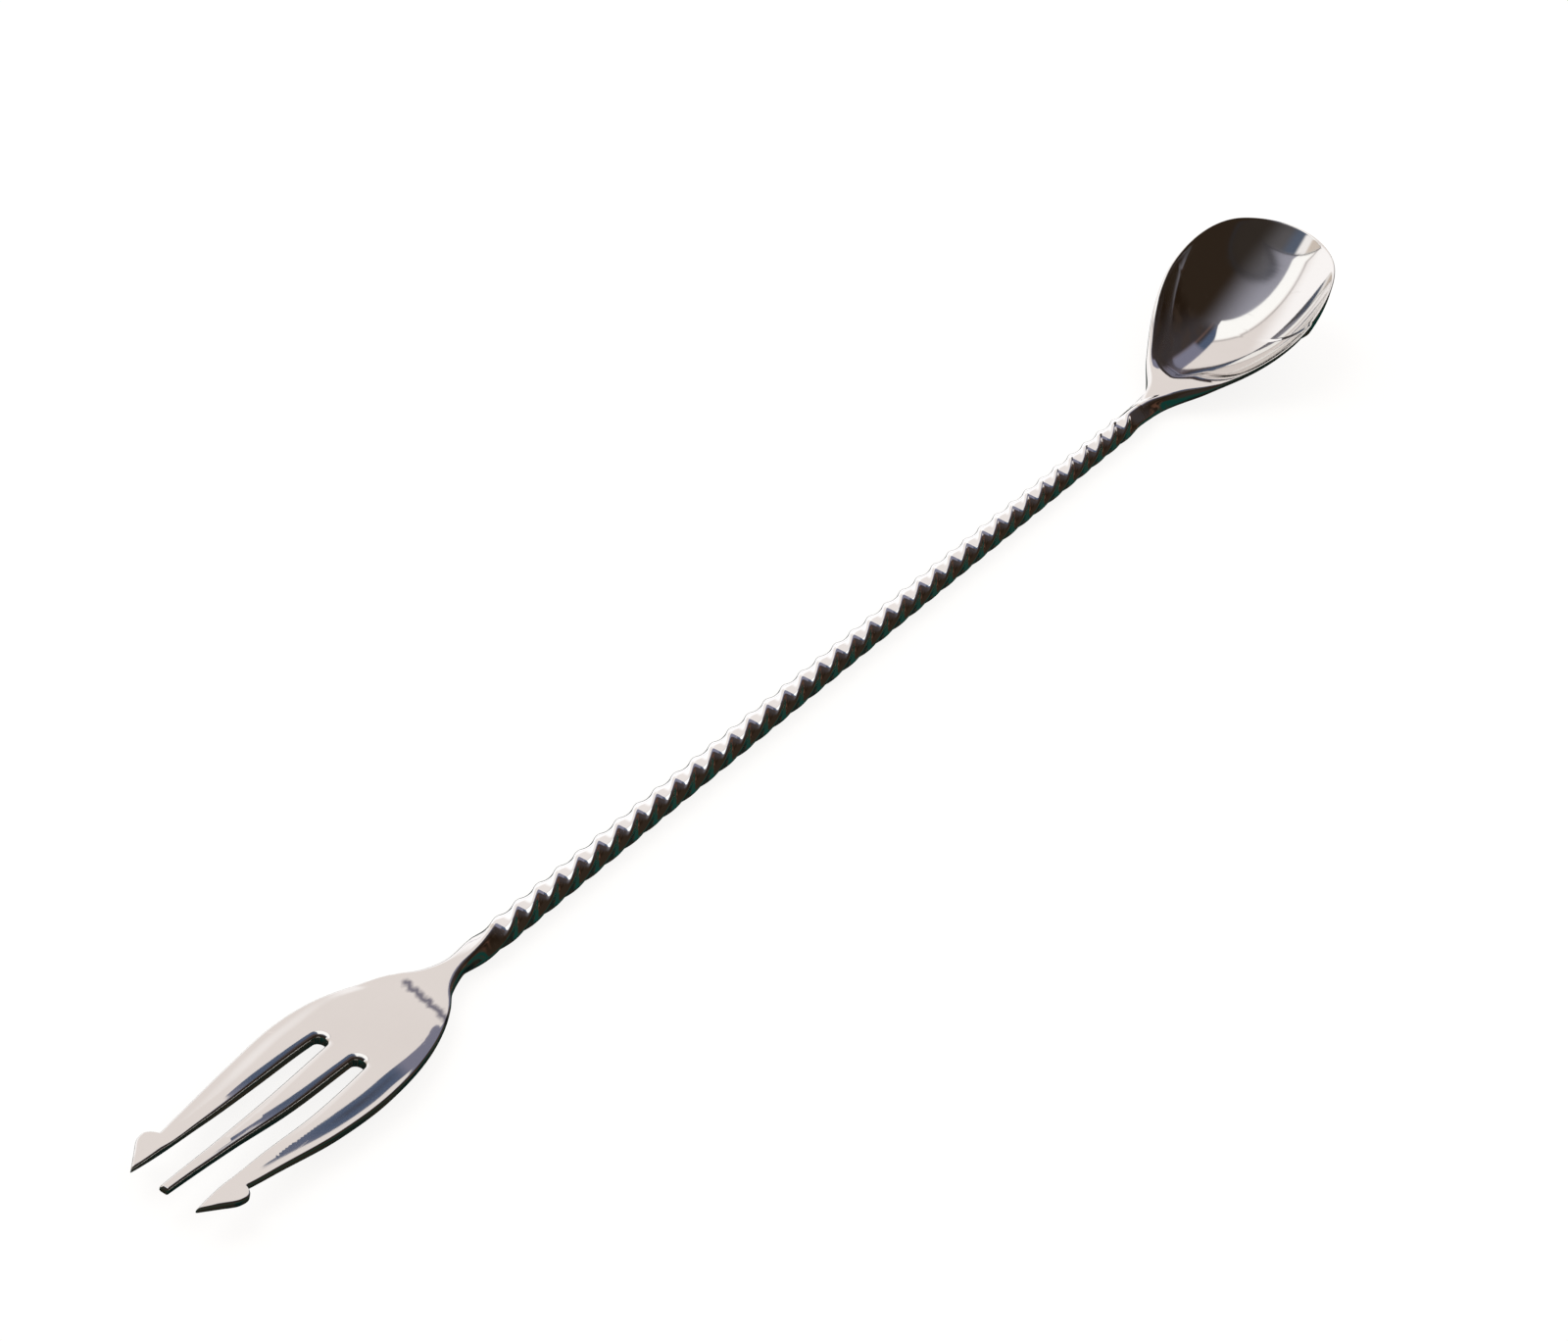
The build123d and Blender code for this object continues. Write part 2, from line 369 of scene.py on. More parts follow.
def inside_z(x, y):
    """Height of the bowl's top surface: the hollow inside a land that follows the rim."""
    land = land_width(x)
    rim = rim_z(x)
    if x > BOWL_CENTRE:
        reach = BOWL_TIP - BOWL_CENTRE
        x = BOWL_CENTRE + (x - BOWL_CENTRE) * reach / (reach - land)
        y = y * BOWL_HALF_WIDTH / (BOWL_HALF_WIDTH - land)
        along = (x - BOWL_CENTRE) / reach
        depth = BOWL_DEPTH * (1 - along * along)
        radius = BOWL_HALF_WIDTH**2 / (2 * BOWL_DEPTH) + depth / 2
        return soft_least(arc_z(radius, rim - depth, y), rim, LAND_SOFTNESS)
    near = smoothstep((NEAR_FROM_Y - y) / NEAR_WIDTH)
    ease = smoothstep((x - HOLLOW_EDGE) / mix(HOLLOW_EASE_FAR, HOLLOW_EASE_NEAR, near))
    depth = max(hollow_depth(x) * ease, LEAST_DEPTH)
    half_width = max(rim_half_width(x) - mix(land, NEAR_LAND, near), LEAST_HALF_WIDTH)
    softness = min(mix(LAND_SOFTNESS, NEAR_SOFTNESS, near), depth)
    if abs(y) > half_width * RIM_MARGIN:
        return rim
    return soft_least(arc_z(arc_radius(half_width, depth), rim - depth, y), rim, softness)


def outside_z(x, y):
    """Height of the bowl's underside. Its two formulas do not meet at BOWL_CENTRE: beside the rim
    the underside steps there by about 1 mm."""
    inside_depth = hollow_depth(x)
    if x > BOWL_CENTRE:
        radius = BOWL_HALF_WIDTH**2 / (2 * BOWL_DEPTH) + inside_depth / 2
        return arc_z(radius + WALL, rim_z(x) - inside_depth - WALL, y)
    extra = wall_thickness(x) - edge_thickness(x)
    depth = max(inside_depth, LEAST_DEPTH) + extra
    radius = arc_radius(rim_half_width(x), depth)
    return arc_z(radius, rim_z(x) - max(inside_depth, LEAST_DEPTH) - wall_thickness(x), y)


def bowl_outline():
    """Points round the rim from one side of the root to the other, each with its spine point."""
    near = [mix(BOWL_ROOT, FAN_POLE, i / SIDE_SECTIONS) for i in range(SIDE_SECTIONS)]
    start = np.arcsin((FAN_POLE - BOWL_CENTRE) / (BOWL_TIP - BOWL_CENTRE))
    found = [((x, -rim_half_width(x)), (x, 0.0)) for x in near]
    for i in range(FAN_SECTIONS + 1):
        angle = mix(start, pi - start, i / FAN_SECTIONS)
        x = BOWL_CENTRE + (BOWL_TIP - BOWL_CENTRE) * sin(angle)
        found.append(((x, -BOWL_HALF_WIDTH * cos(angle)), (FAN_POLE, 0.0)))
    found += [((x, rim_half_width(x)), (x, 0.0)) for x in reversed(near)]
    return found


def inset_steps(radius, reach, count):
    """Distances in from an edge: close together over its rounding, then evenly out to reach."""
    rounding = [radius * (1 - cos(pi / 2 * k / ROUNDING_ROWS)) for k in range(ROUNDING_ROWS + 1)]
    beyond = [radius + (reach - radius) * (k / count) ** INSET_POWER for k in range(1, count + 1)]
    return rounding + beyond


def build_bowl():
    """The bowl, as a closed section from each point of its rim in to its middle. Its root starts
    with the turned bar's section and eases into its own."""
    outline = bowl_outline()
    rows = []
    root_angles = {}
    for i, (rim, spine) in enumerate(outline):
        rim, spine = Vector(rim), Vector(spine)
        before = Vector(outline[max(i - 1, 0)][0])
        after = Vector(outline[min(i + 1, len(outline) - 1)][0])
        along = (after - before).normalized()
        inward = Vector((-along.y, along.x))
        to_spine = spine - rim
        lean = max(abs(inward.dot(to_spine.normalized())), LEAST_LEAN)
        blend = smoothstep((rim.x - NECK_END) / NECK_FADE)
        top_radius = mix(NECK_TOP_ROUNDING, RIM_TOP_ROUNDING, blend)
        under_radius = mix(NECK_UNDER_ROUNDING, RIM_UNDER_ROUNDING, blend)
        row = []
        for step in reversed(inset_steps(top_radius / lean, to_spine.length, INSET_COUNT)):
            x, y = rim + to_spine * (step / to_spine.length)
            drop = float(quarter_round(step * lean, top_radius))
            row.append((x, y, inside_z(x, y) - drop))
        edge_top = row[-1][2]
        under = []
        for step in inset_steps(under_radius / lean, to_spine.length, INSET_COUNT):
            x, y = rim + to_spine * (step / to_spine.length)
            rise = float(quarter_round(step * lean, under_radius))
            under.append((x, y, outside_z(x, y) + rise))
        edge_under = under[0][2]
        row += [(rim.x, rim.y, mix(edge_top, edge_under, k / RIM_ROWS)) for k in range(1, RIM_ROWS)]
        row += under
        side = "far" if rim.y > 0 else "near"
        if i == 0:
            root_angles["near"] = [atan2(z - AXIS_Z, y) for _, y, z in row]
            root_angles["far"] = [atan2(z - AXIS_Z, -y) for _, y, z in row]
        own = smoothstep((rim.x - BOWL_ROOT - ROOT_KEEP) / (BOWL_LEVEL_X - BOWL_ROOT))
        if own < 1:
            turn = bowl_turn(rim.x)
            row = [
                tuple(bar_point(x, angle, turn).lerp(Vector((x, y, z)), own))
                for (x, y, z), angle in zip(row, root_angles[side])
            ]
        rows.append(row)
    count = len(rows[0])
    vertices = [v for row in rows for v in row]
    faces = [
        (i * count + k, (i + 1) * count + k, (i + 1) * count + k + 1, i * count + k + 1)
        for i in range(len(rows) - 1) for k in range(count - 1)
    ]
    last = (len(rows) - 1) * count
    faces.append(tuple(range(count)) + tuple(last + k for k in reversed(range(1, count - 1))))
    made = make_mesh("bowl_shell", vertices, faces)
    clean_mesh(made, (BOWL_ROOT,))
    return made


# ---------------------------------------------------------------- fork
SLOT_END = -121.8
SLOT_RADIUS = 1.0
SLOT_OFFSET = 3.05
FLAT_START = -119.0
FLAT_END = -136.0
BLADE_TOP = 2.4                 # heights of the blade above the bar's axis
BLADE_THICKNESS = 1.85
TIP_TOP = 3.6
TIP_THICKNESS = 1.2
OUTLINE_STEP = 0.22
PROFILE_STEP = 0.3
GRID_STEP = 0.34
GRID_HALF_WIDTH = 10.0
GRID_MARGIN = 0.2
INNER_INSETS = [0.5, 0.75, 1.05, 1.4]   # rows of points between the rounded edge and the grid
INSET_SLACK = 0.98              # an inset point may lie this much nearer to another edge
EDGE_RADIUS = 0.3
UNDER_ROUNDING_MOST = 0.6
NECK_ROUNDING = 1.1             # the edges of the fork's neck are rounder, and fade into the blade's
NECK_FROM = -98.0
NECK_LENGTH = 9.0
ROOT_POINTS = 16
SLOT_END_POINTS = 16
# The blade's top steps down softly towards its edges. A step has a drop, a width, and a distance
# from the edge to its middle. The steps grow from STEPS_FROM and fade towards the tips.
STEPS_FROM = -104.0
STEPS_LENGTH = 6.0
STEPS_FADE = 0.6
STEPS_FADE_FROM = -149.0
STEPS_FADE_LENGTH = 7.0
OUTER_DROP = 0.52
OUTER_DROP_TINES = 0.45
OUTER_DROP_FROM = -130.0
OUTER_DROP_LENGTH = 16.0
OUTER_WIDTH = 3.0
OUTER_MIDDLE_NECK = 0.85
OUTER_MIDDLE_BLADE = 1.75
OUTER_MIDDLE_FROM = -112.0
OUTER_MIDDLE_LENGTH = 12.0
SLOT_DROP = 0.25
SLOT_WIDTH = 1.4
SLOT_MIDDLE = 0.45
SLOT_MIDDLE_FROM = -122.0
SLOT_MIDDLE_LENGTH = 20
SLOT_MIDDLE_SLOPE = 0.02
RIDGE_X = -104.6                # the neck ends in a low step down to the blade
RIDGE_SKEW = 0.27
RIDGE_HEIGHT = 0.12
RIDGE_WIDTH = 1.4
RIDGE_FADE_FROM = -90.0         # and the step's height fades towards the weld
RIDGE_FADE_LENGTH = 11.0
TOUCHING = 0.001
TINY = 1e-12
FAR_AWAY = 1e9
CHUNK = 2000                    # points measured at a time, to save memory
INSIDE_TRIANGLES = 1            # what the triangulation gives back
TRIANGULATION_LIMIT = 1e-6      # points closer than this are one


def fork_outline():
    """The blade's outline in plan, as points with True where the edge faces a slot."""
    slot_mouth = SLOT_END - SLOT_RADIUS
    barb_start = (-151.8, 6.85)
    barb_end = (-156.9, 6.95)
    outer_point = (FORK_TIP, 5.06)
    middle_tip_x = FORK_TIP + 0.1
    middle_point = (middle_tip_x, 0.62)
    middle_tip = (middle_tip_x, 0.0)
    outer = spline_points(
        [(FORK_ROOT, HALF_SIDE), (-96.5, 1.66), (-100.2, 2.7), (-104.2, 4.95), (-110.2, 7.25),
         (-117.0, 8.85), (-124.4, BLADE_HALF_WIDTH), (-134.5, 9.0), (-144.5, 7.8), barb_start],
        (-1, 0), (-1, -0.16), OUTLINE_STEP,
    )
    barb = spline_points(
        [barb_start, (-152.1, 7.4), (-153.1, 8.2), (-154.6, 8.15), barb_end],
        (-0.3, 1), (-1.0, -0.6), OUTLINE_STEP,
    )
    point = spline_points([barb_end, outer_point], (-3.1, -1.89), (-3.1, -1.89), OUTLINE_STEP)
    outer_side = spline_points(
        [outer_point, (-146.0, 4.48), (-134.0, 4.52), (slot_mouth, SLOT_OFFSET + SLOT_RADIUS)],
        (1, -0.12), (1, -0.08), OUTLINE_STEP,
    )
    closed_end = [
        Vector((slot_mouth + SLOT_RADIUS * sin(a), SLOT_OFFSET + SLOT_RADIUS * cos(a)))
        for a in [pi * k / SLOT_END_POINTS for k in range(SLOT_END_POINTS + 1)]
    ]
    inner_side = spline_points(
        [(slot_mouth, SLOT_OFFSET - SLOT_RADIUS), (-134.0, 1.66), (-148.0, 0.98), middle_point],
        (-1, -0.03), (-1, -0.02), OUTLINE_STEP,
    )
    blunt = spline_points([middle_point, middle_tip], (0, -1), (0, -1), OUTLINE_STEP)
    half = [(p, False) for p in outer + barb[1:] + point[1:]]
    half += [(p, True) for p in outer_side[1:] + closed_end[1:] + inner_side[1:] + blunt[1:]]
    mirrored = [(Vector((p.x, -p.y)), slot) for p, slot in reversed(half[:-1])]
    root = [
        (Vector((FORK_ROOT, -HALF_SIDE * cos(pi * k / ROOT_POINTS))), False)
        for k in range(1, ROOT_POINTS)
    ]
    return half + mirrored + root


def profile(points, start, end):
    """A height for every x, from a smooth curve through points of the side view."""
    line = spline_points(points, start, end, PROFILE_STEP)
    xs = np.array([p.x for p in line])
    zs = np.array([p.y for p in line])
    order = np.argsort(xs)
    return lambda x: np.interp(x, xs[order], zs[order])


top_profile = profile(
    [(FORK_ROOT, HALF_SIDE), (-96.5, 1.45), (-103.0, 1.3), (FLAT_START, BLADE_TOP),
     (FLAT_END, BLADE_TOP), (-147.0, 3.05), (FORK_TIP, TIP_TOP)],
    (-1, 0), (-1, 0.03),
)
under_profile = profile(
    [(FORK_ROOT, -HALF_SIDE), (-96.5, -0.75), (-103.0, -0.55), (FLAT_START, BLADE_TOP - BLADE_THICKNESS),
     (FLAT_END, BLADE_TOP - BLADE_THICKNESS), (-147.0, 1.525), (FORK_TIP, TIP_TOP - TIP_THICKNESS)],
    (-1, 0), (-1, 0.06),
)


def distance_to(points, starts, ends):
    """Distance in plan from each point to the nearest of these segments."""
    span = ends - starts
    length = np.maximum((span**2).sum(1), TINY)
    nearest = np.full(len(points), FAR_AWAY)
    for first in range(0, len(points), CHUNK):
        chunk = points[first:first + CHUNK]
        offset = chunk[:, None, :] - starts[None]
        t = np.clip((offset * span[None]).sum(2) / length, 0, 1)
        gap = offset - t[..., None] * span[None]
        nearest[first:first + CHUNK] = np.sqrt((gap**2).sum(2)).min(1)
    return nearest


def staggered_grid(start, end, half_width, step):
    """Evenly spread points over a stretch of the blade."""
    return [
        (x, y + (step / 2 if i % 2 else 0.0))
        for i, x in enumerate(np.arange(start, end, step))
        for y in np.arange(-half_width, half_width, step)
    ]


def points_inside(points, edge, following):
    """The points that lie inside a closed outline, found by counting the edges beyond each one."""
    inside = np.zeros(len(points), bool)
    for a, b in zip(edge, following):
        crosses = (a[1] > points[:, 1]) != (b[1] > points[:, 1])
        if a[1] != b[1]:
            at = a[0] + (points[:, 1] - a[1]) * (b[0] - a[0]) / (b[1] - a[1])
            inside ^= crosses & (points[:, 0] < at)
    return points[inside]


def blade_steps(x, outer_gap, slot_gap):
    """How far the blade's top lies below its flat, at these distances from its edges."""
    fade = STEPS_FADE * smoothsteps((STEPS_FADE_FROM - x) / STEPS_FADE_LENGTH)
    relief = smoothsteps((STEPS_FROM - x) / STEPS_LENGTH) * (1 - fade)
    middle_shift = smoothsteps((OUTER_MIDDLE_FROM - x) / OUTER_MIDDLE_LENGTH)
    outer_middle = mix(OUTER_MIDDLE_NECK, OUTER_MIDDLE_BLADE, middle_shift)
    drop_shift = smoothsteps((OUTER_DROP_FROM - x) / OUTER_DROP_LENGTH)
    outer_drop = mix(OUTER_DROP, OUTER_DROP_TINES, drop_shift)
    past_slot_end = np.clip(SLOT_MIDDLE_FROM - x, 0, SLOT_MIDDLE_LENGTH)
    slot_middle = SLOT_MIDDLE + past_slot_end * SLOT_MIDDLE_SLOPE
    return relief * (
        outer_drop * smoothsteps((outer_middle - outer_gap) / OUTER_WIDTH + 0.5)
        + SLOT_DROP * smoothsteps((slot_middle - slot_gap) / SLOT_WIDTH + 0.5)
    )


def neck_step(x, y):
    """How far the neck's top lies above the blade's side view."""
    neck_side = smoothsteps((x - RIDGE_X - RIDGE_SKEW * y) / RIDGE_WIDTH + 0.5)
    neck_side = neck_side * smoothsteps((RIDGE_FADE_FROM - x) / RIDGE_FADE_LENGTH)
    return RIDGE_HEIGHT * neck_side


def build_fork():
    """The fork: its plan filled with triangles, a height over and under each of their corners, and a
    wall round the outline. Its root starts with the turned bar's section and eases into its own."""
    outline = fork_outline()
    edge = np.array([tuple(p) for p, _ in outline])
    is_slot = np.array([slot for _, slot in outline])
    count = len(edge)
    following = np.roll(edge, -1, axis=0)
    at_root = FORK_ROOT - TOUCHING
    root_edge = (edge[:, 0] > at_root) & (following[:, 0] > at_root)
    sides = count - ROOT_POINTS + 1             # the points before those that only close the root
    span = following - edge
    normal = np.stack([-span[:, 1], span[:, 0]], 1) / np.linalg.norm(span, axis=1)[:, None]
    inward = (normal + np.roll(normal, 1, axis=0))[:sides]
    inward[0] = normal[0]
    inward[-1] = normal[sides - 2]
    inward /= np.linalg.norm(inward, axis=1)[:, None]

    def to_edge(points, keep):
        return distance_to(points, edge[keep], following[keep])

    rings = []
    rounded = [EDGE_RADIUS * (1 - cos(pi / 2 * k / ROUNDING_ROWS)) for k in range(1, ROUNDING_ROWS + 1)]
    insets = rounded + INNER_INSETS
    for inset in insets:
        ring = edge[:sides] + inward * inset
        ring = ring[to_edge(ring, ~root_edge) > inset * INSET_SLACK]
        rings.append(ring[ring[:, 0] <= FORK_ROOT])
    grid = np.array(staggered_grid(FORK_TIP, FORK_ROOT, GRID_HALF_WIDTH, GRID_STEP))
    grid = points_inside(grid, edge, following)
    grid = grid[to_edge(grid, ~root_edge) > insets[-1] + GRID_MARGIN]
    grid = grid[grid[:, 0] < FORK_ROOT - GRID_MARGIN]
    points = np.concatenate([edge, *rings, grid])
    flat, _, triangles, *_ = delaunay_2d_cdt(
        [Vector(p) for p in points], [], [list(range(count))], INSIDE_TRIANGLES, TRIANGULATION_LIMIT
    )
    plan = np.array([tuple(p) for p in flat])
    x, y = plan[:, 0], plan[:, 1]
    blade_share = smoothsteps((NECK_FROM - x) / NECK_LENGTH)
    rounding = quarter_round(to_edge(plan, ~root_edge), mix(NECK_ROUNDING, EDGE_RADIUS, blade_share))
    steps = blade_steps(x, to_edge(plan, ~root_edge & ~is_slot), to_edge(plan, is_slot))
    top = AXIS_Z + top_profile(x) - rounding - steps + neck_step(x, y)
    under = AXIS_Z + under_profile(x) + np.minimum(rounding, UNDER_ROUNDING_MOST)
    size = len(plan)
    vertices = [Vector((*at, z)) for at, z in zip(plan, top)]
    vertices += [Vector((*at, z)) for at, z in zip(plan, under)]
    for i, v in enumerate(vertices):
        own = smoothstep((FORK_ROOT - ROOT_KEEP - v.x) / (FORK_ROOT - FORK_BLENDED_X))
        if own < 1:
            vertices[i] = bar_point(v.x, atan2(v.z - AXIS_Z, v.y), fork_turn(v.x)).lerp(v, own)
    faces = [tuple(t) for t in triangles]
    faces += [tuple(size + k for k in reversed(t)) for t in triangles]
    for i in range(count):
        k = (i + 1) % count
        faces.append((i, k, size + k, size + i))
    made = make_mesh("trident_fork", vertices, faces)
    clean_mesh(made, (FORK_ROOT,))
    return made


# ---------------------------------------------------------------- materials
class Nodes:
    """Short ways to add and join the nodes of one material."""

    def __init__(self, name):
        self.material = bpy.data.materials.new(name)
        self.material.use_nodes = True
        self.tree = self.material.node_tree

    def add(self, kind, **settings):
        """A new node with these settings."""
        node = self.tree.nodes.new(kind)
        for name, value in settings.items():
            setattr(node, name, value)
        return node

    def put(self, socket, value):
        """Sets an input: joins it to an output, or gives it a number or colour."""
        if isinstance(value, bpy.types.NodeSocket):
            self.tree.links.new(value, socket)
        else:
            socket.default_value = value

    def math(self, operation, *values):
        node = self.add("ShaderNodeMath", operation=operation)
        for socket, value in zip(node.inputs, values):
            self.put(socket, value)
        return node.outputs[0]

    def sheared(self, a, slope, b):
        """b plus slope times a."""
        return self.math("MULTIPLY_ADD", a, slope, b)

    def ramp(self, value, low, high, to_low=0.0, to_high=1.0):
        """Value eased from to_low to to_high as it goes from low to high."""
        node = self.add("ShaderNodeMapRange", interpolation_type="SMOOTHSTEP")
        for socket, number in zip(node.inputs, (value, low, high, to_low, to_high)):
            self.put(socket, number)
        return node.outputs[0]

    def band(self, value, middle, half_width):
        """1 on the middle of a band, easing to 0 at its sides."""
        away = self.math("ABSOLUTE", self.math("SUBTRACT", value, middle))
        return self.ramp(away, half_width, 0.0)

    def blend(self, share, a, b):
        """Colour a where share is 0, colour b where it is 1."""
        node = self.add("ShaderNodeMix", data_type="RGBA")
        self.put(node.inputs["Factor"], share)
        colour_a, colour_b = [socket for socket in node.inputs if socket.type == "RGBA"]
        self.put(colour_a, a)
        self.put(colour_b, b)
        return next(socket for socket in node.outputs if socket.type == "RGBA")

    def stretched(self, scale):
        """The object's own coordinates, in metres, stretched by a scale per axis."""
        where = self.add("ShaderNodeTexCoord")
        node = self.add("ShaderNodeMapping")
        node.inputs["Scale"].default_value = scale
        self.put(node.inputs["Vector"], where.outputs["Object"])
        return node.outputs[0]

    def noise(self, scale, detail=2.0, roughness=0.5):
        """Noise with this many waves a metre along each axis."""
        node = self.add("ShaderNodeTexNoise")
        self.put(node.inputs["Vector"], self.stretched(scale))
        node.inputs["Scale"].default_value = 1.0
        node.inputs["Detail"].default_value = detail
        node.inputs["Roughness"].default_value = roughness
        return node.outputs["Fac"]


# A painted reflection: a dark ragged streak across the end of the fork's neck, in millimetres where a
# length.
REFLECTED_STREAK_COLOUR = (0.14, 0.14, 0.20, 1)
REFLECTED_STREAK_STRENGTH = 0.9
REFLECTED_STREAK_OFFSET = 0.75
REFLECTED_STREAK_HALF_WIDTH = 1.25
REFLECTED_STREAK_RAGGEDNESS = 2.0
REFLECTED_STREAK_WAVES = (500, 1300, 500)
REFLECTED_STREAK_FULL_Y = 2.4               # it fades out from here to REFLECTED_STREAK_END_Y, towards the far edge
REFLECTED_STREAK_END_Y = 3.3


def painted_neck_reflection(nodes, colour):
    """The colour with the painted reflection of that dark streak across it."""
    where = nodes.add("ShaderNodeSeparateXYZ")
    nodes.put(where.inputs[0], nodes.add("ShaderNodeTexCoord").outputs["Object"])
    x, y, _ = where.outputs
    along = nodes.sheared(y, -RIDGE_SKEW, x)
    ragged = nodes.sheared(nodes.noise(REFLECTED_STREAK_WAVES, 3.0), REFLECTED_STREAK_RAGGEDNESS * MM, along)
    share = nodes.band(ragged, (RIDGE_X + REFLECTED_STREAK_OFFSET) * MM, REFLECTED_STREAK_HALF_WIDTH * MM)
    reach = nodes.ramp(y, REFLECTED_STREAK_END_Y * MM, REFLECTED_STREAK_FULL_Y * MM)
    share = nodes.math("MULTIPLY", nodes.math("MULTIPLY", share, reach), REFLECTED_STREAK_STRENGTH)
    return nodes.blend(share, colour, REFLECTED_STREAK_COLOUR)


# What all the steels share: a faint cloud of two tints, fine polishing lines, a few scratches and
# paler worn edges.
CLOUD_WAVES = (70, 70, 70)
CLOUD_LIMITS = (0.3, 0.7)
CLOUD_ROUGHNESS = 0.035
LINE_TINT = (0.68, 0.665, 0.65, 1)
LINE_TINT_SHARE = 0.10
LINE_ROUGHNESS = 0.03
SCRATCH_STRETCH = 0.45
SCRATCH_LIMITS = (0.70, 0.76)
SCRATCH_ROUGHNESS = 0.12
SCRATCH_DEPTH = 0.5
WORN_TINT = (0.95, 0.94, 0.92, 1)
WORN_LIMITS = (0.54, 0.60)
WORN_SHARE = 0.35
BUMP_DISTANCE = 0.00002         # metres


def polished_steel(name, line_scale, dark, pale, grain=0.05, line_strength=0.05, painted_reflection=None):
    """Stainless steel between two tints. line_scale sets how its polishing lines run, grain is its
    roughness between them, and painted_reflection can paint a reflection into its colour."""
    nodes = Nodes(name)
    shader = nodes.tree.nodes["Principled BSDF"]
    shader.inputs["Metallic"].default_value = 1.0
    lines = nodes.noise(line_scale, 3.0, 0.6)
    cloud = nodes.noise(CLOUD_WAVES, 3.0)
    scratches = nodes.ramp(nodes.noise([c * SCRATCH_STRETCH for c in line_scale], 1.0), *SCRATCH_LIMITS)
    wear = nodes.ramp(nodes.add("ShaderNodeNewGeometry").outputs["Pointiness"], *WORN_LIMITS)

    colour = nodes.blend(cloud, (*dark, 1), (*pale, 1))
    colour = nodes.blend(nodes.math("MULTIPLY", lines, LINE_TINT_SHARE), colour, LINE_TINT)
    colour = nodes.blend(nodes.math("MULTIPLY", wear, WORN_SHARE), colour, WORN_TINT)
    # a painted reflection, when one is given, goes into the colour
    if painted_reflection:
        colour = painted_reflection(nodes, colour)
    nodes.put(shader.inputs["Base Color"], colour)

    roughness = nodes.ramp(cloud, *CLOUD_LIMITS, grain, grain + CLOUD_ROUGHNESS)
    roughness = nodes.math("ADD", roughness, nodes.math("MULTIPLY", lines, LINE_ROUGHNESS))
    roughness = nodes.math("ADD", roughness, nodes.math("MULTIPLY", scratches, SCRATCH_ROUGHNESS))
    nodes.put(shader.inputs["Roughness"], roughness)

    bump = nodes.add("ShaderNodeBump")
    bump.inputs["Strength"].default_value = line_strength
    bump.inputs["Distance"].default_value = BUMP_DISTANCE
    depth = nodes.math("MULTIPLY", scratches, SCRATCH_DEPTH)
    nodes.put(bump.inputs["Height"], nodes.math("SUBTRACT", lines, depth))
    nodes.put(shader.inputs["Normal"], bump.outputs[0])
    return nodes.material


# ---------------------------------------------------------------- stage, lights and camera
AIM = Vector((-2.9, 4.2, AXIS_Z)) * MM
CAMERA_BEARING = 203.1          # degrees from +X round to where the camera stands
CAMERA_ELEVATION = 34.77
CAMERA_ROLL = 14.51
CAMERA_DISTANCE = 0.684         # metres
CAMERA_LENS = 105.2             # millimetres
SENSOR_WIDTH = 36.0             # millimetres


def build_camera():
    """The photograph's view."""
    data = bpy.data.cameras.new("camera")
    data.lens = CAMERA_LENS
    data.sensor_width = SENSOR_WIDTH
    data.clip_start = 0.02
    data.clip_end = 30.0
    camera = bpy.data.objects.new("camera", data)
    bpy.context.scene.collection.objects.link(camera)
    bearing, elevation = radians(CAMERA_BEARING), radians(CAMERA_ELEVATION)
    away = Vector((cos(elevation) * cos(bearing), cos(elevation) * sin(bearing), sin(elevation)))
    turn = (-away).to_track_quat("-Z", "Y").to_matrix()
    roll = Matrix.Rotation(radians(CAMERA_ROLL), 3, "Z")
    camera.matrix_world = Matrix.Translation(AIM + away * CAMERA_DISTANCE) @ (turn @ roll).to_4x4()
    bpy.context.scene.camera = camera


def glow(nodes, colour):
    """Makes the material shine with this colour instead of reflecting light."""
    emission = nodes.add("ShaderNodeEmission")
    nodes.put(emission.inputs["Color"], colour)
    nodes.put(nodes.tree.nodes["Material Output"].inputs["Surface"], emission.outputs[0])
    nodes.tree.nodes.remove(nodes.tree.nodes["Principled BSDF"])
    nodes.material.cycles.emission_sampling = "NONE"
    return nodes.material


# What the steel mirrors, painted by direction from the middle of the dome: a white tent on its +Y
# side, a dark room on its -Y side and a dark green cloth below. The limits in the functions below
# are components of a direction, from -1 to 1.
ROOM_NEAR = (0.048, 0.041, 0.043, 1)
ROOM_FAR = (0.020, 0.012, 0.007, 1)
ROOM_PATCHES = (0.065, 0.044, 0.032, 1)
ROOM_SHELF = (0.105, 0.050, 0.032, 1)
ROOM_BROWN_LINE = (0.13, 0.085, 0.075, 1)
ROOM_SLATE = (0.085, 0.115, 0.185, 1)
ROOM_STRIP = (0.215, 0.215, 0.29, 1)
OVERHEAD_DARK = (0.030, 0.020, 0.013, 1)
OVERHEAD_PALE = (0.35, 0.35, 0.41, 1)
TENT_GREY = (0.86, 0.80, 0.77, 1)
TENT_WHITE = (1.12, 1.10, 1.10, 1)
TENT_BACK = (1.15, 1.15, 1.13, 1)
TENT_SEAM = (0.30, 0.27, 0.27, 1)
BEHIND_DARK = (0.034, 0.027, 0.022, 1)
BEHIND_GREY = (0.105, 0.10, 0.105, 1)
BEHIND_SLATE = (0.10, 0.125, 0.175, 1)
BEHIND_FAR = (0.028, 0.022, 0.017, 1)
BEHIND_CARD = (1.0, 0.98, 0.97, 1)
BEHIND_WALL = (0.68, 0.60, 0.53, 1)
BEHIND_BORDER = (0.03, 0.028, 0.03, 1)
CLOTH_GREEN = (0.006, 0.046, 0.036, 1)
CLOTH_BELOW = (0.003, 0.012, 0.011, 1)
CLOTH_BROWN = (0.040, 0.026, 0.016, 1)
HORIZON_VIOLET = (0.30, 0.28, 0.37, 1)


